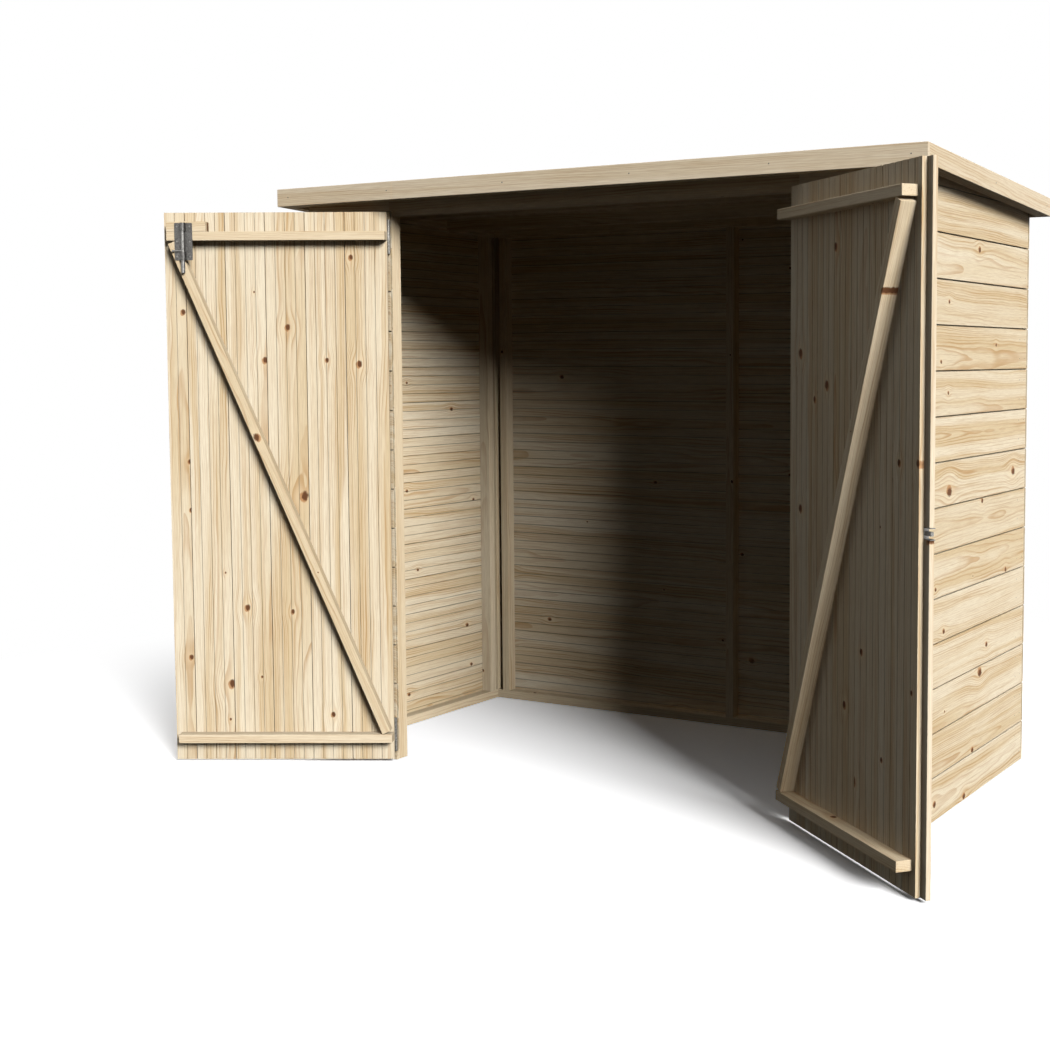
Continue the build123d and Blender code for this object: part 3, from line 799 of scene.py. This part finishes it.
bm = bmesh.new()
for x in [share * DECK_X for share in FASCIA_NAILS]:
    for y, way in ((FASCIA_Y, -Y), (ROOF_BACK_Y, Y)):
        nail(bm, (x, y, roof_z(y, FASCIA_H / 2)), way, FASCIA_NAIL_R)
for y in (DECK_Y + FASCIA_NAIL_IN, (DECK_Y + DECK_BACK_Y) / 2, DECK_BACK_Y - FASCIA_NAIL_IN):
    for turn in (1, -1):
        nail(bm, (turn * ROOF_X, y, roof_z(y, FASCIA_H / 2)), turn * X, FASCIA_NAIL_R)
make("fascia_nails", bm, GALVANISED, "shed")

# nails through the door boards into the ledges
for side in ("left", "right"):
    bm = bmesh.new()
    for z in LEDGE_MIDDLES:
        for board in range(DOOR_NAILS):
            nail(bm, (DOOR_X - (board + 0.5) * COVER, FRONT_Y, z + LEDGE_NAIL_RISE), -Y)
    hang(f"{side}_door_nails", bm, side, finish=GALVANISED)

# hinge screws
for side in ("left", "right"):
    bm, fixed = bmesh.new(), bmesh.new()
    for z in LEDGE_MIDDLES:
        for x in STRAP_SCREWS:
            screw(bm, facing((DOOR_X - x, FRONT_Y - HINGE_T, z), -Y))
        for rise in HINGE_PLATE_SCREWS:
            screw(fixed, facing((HINGE_PLATE_X, FRONT_Y - HINGE_T, z + rise), -Y))
    hang(f"{side}_strap_screws", bm, side, finish=SCREW_ZINC)
    if side == "left":
        bmesh.ops.transform(fixed, matrix=MIRROR, verts=fixed.verts)
    make(f"{side}_plate_screws", fixed, SCREW_ZINC, "shed")

# bolt plate screws, and the knob on the end of the bolt's handle
bm = bmesh.new()
for turn in (-1, 1):
    for drop in (PLATE_SCREW_DOWN, PLATE_H / 2, PLATE_H - PLATE_SCREW_DOWN):
        place = facing((BOLT_X + turn * (PLATE_W / 2 - PLATE_SCREW_IN), PLATE_Y,
                        PLATE_TOP_Z - drop), Y)
        screw(bm, place, PLATE_SCREW_R)
hang("bolt_plate_screws", bm, "left", finish=BOLT_ZINC)

bm = bmesh.new()
bmesh.ops.create_uvsphere(
    bm, u_segments=20, v_segments=12, radius=KNOB_R,
    matrix=Matrix.Translation((BOLT_X - HANDLE_L + KNOB_R / 2, ROD_Y, HANDLE_Z)))
hang("bolt_knob", bm, "left", finish=BOLT_ZINC, smooth=True, body="bolt")


def refinish(node, finish):
    """A CAD node that stays and takes a better material."""
    piece = frame["nodes"][node]
    piece.data.materials.clear()
    piece.data.materials.append(finish)


for node in ("left_hinge_plates", "right_hinge_plates", "left_hinge_straps", "right_hinge_straps"):
    refinish(node, HINGE_ZINC)
for node, finish in (("bolt_case", GALVANISED), ("bolt_rod", BOLT_ZINC), ("lock_keep", BOLT_ZINC)):
    refinish(node, finish)
refinish("roof_felt", FELT)

# floor that fades into a white backdrop; it looks white and keeps shadows, but bounces little
f = Finish(bpy.data.materials.new("studio_floor"))
across, back, _ = f.split(f.place())
back = back + FLOOR_MIDDLE
spread = (across * across + back * back).maths("SQRT")
seen = f.seen()
paper = f.mix(seen, (0.05, 0.05, 0.05, 1), (1.9, 1.9, 1.91, 1))
f.ends_in(f.node("ShaderNodeMixShader", values={
    0: f.step(spread, *FLOOR_FADE) * seen,
    1: f.node("ShaderNodeBsdfDiffuse", values={"Color": paper}),
    2: f.node("ShaderNodeEmission", values={"Color": (1, 1, 1, 1), "Strength": 1.0})}))
bm = bmesh.new()
bmesh.ops.create_circle(bm, cap_ends=True, segments=96, radius=60)
floor = to_object("floor", bm, f.owner)

# light: a low key from the right and front, fills from behind and from the left, a wide
# soft one overhead; they light directly only, so the inside keeps its shade
for name, way, strength, spread_deg in (
        ("key", Vector((0.777, -0.467, 0.423)), 3.80, 22),
        ("back_fill", Vector((-0.55, 0.75, 0.35)), 1.7, 50),
        ("left_fill", Vector((-1.0, -0.15, 0.12)), 0.22, 40),
        ("overhead", Vector((0, 0, 1)), 0.34, 90)):
    lamp = bpy.data.lights.new(name, "SUN")
    lamp.energy, lamp.angle = strength, radians(spread_deg)
    lamp.cycles.max_bounces = 0
    holder = show(name, lamp)
    holder.rotation_mode = "QUATERNION"
    holder.rotation_quaternion = way.to_track_quat("Z", "Y")

# a sky that looks white but gives little light
f = Finish(bpy.data.worlds.new("studio"), "ShaderNodeOutputWorld")
strength = f.seen() * (1 - SKY_LIGHT) + SKY_LIGHT
bpy.context.scene.world = f.ends_in(f.node("ShaderNodeBackground", values={
    "Color": (1, 1, 1, 1), "Strength": strength}))

# camera
lens = bpy.data.cameras.new("camera")
lens.sensor_width, lens.lens = 36, 55.123
lens.shift_x, lens.shift_y = 0.5 - AXIS_AT[0] / PHOTO, AXIS_AT[1] / PHOTO - 0.5
camera = show("camera", lens)
camera.matrix_world = (Matrix.Translation(CAMERA_PLACE) @ Matrix.Rotation(YAW, 4, "Z")
                       @ Matrix.Rotation(pi / 2 - PITCH, 4, "X") @ Matrix.Rotation(ROLL, 4, "Z"))
bpy.context.scene.camera = camera
bpy.context.scene.view_settings.view_transform = "Standard"
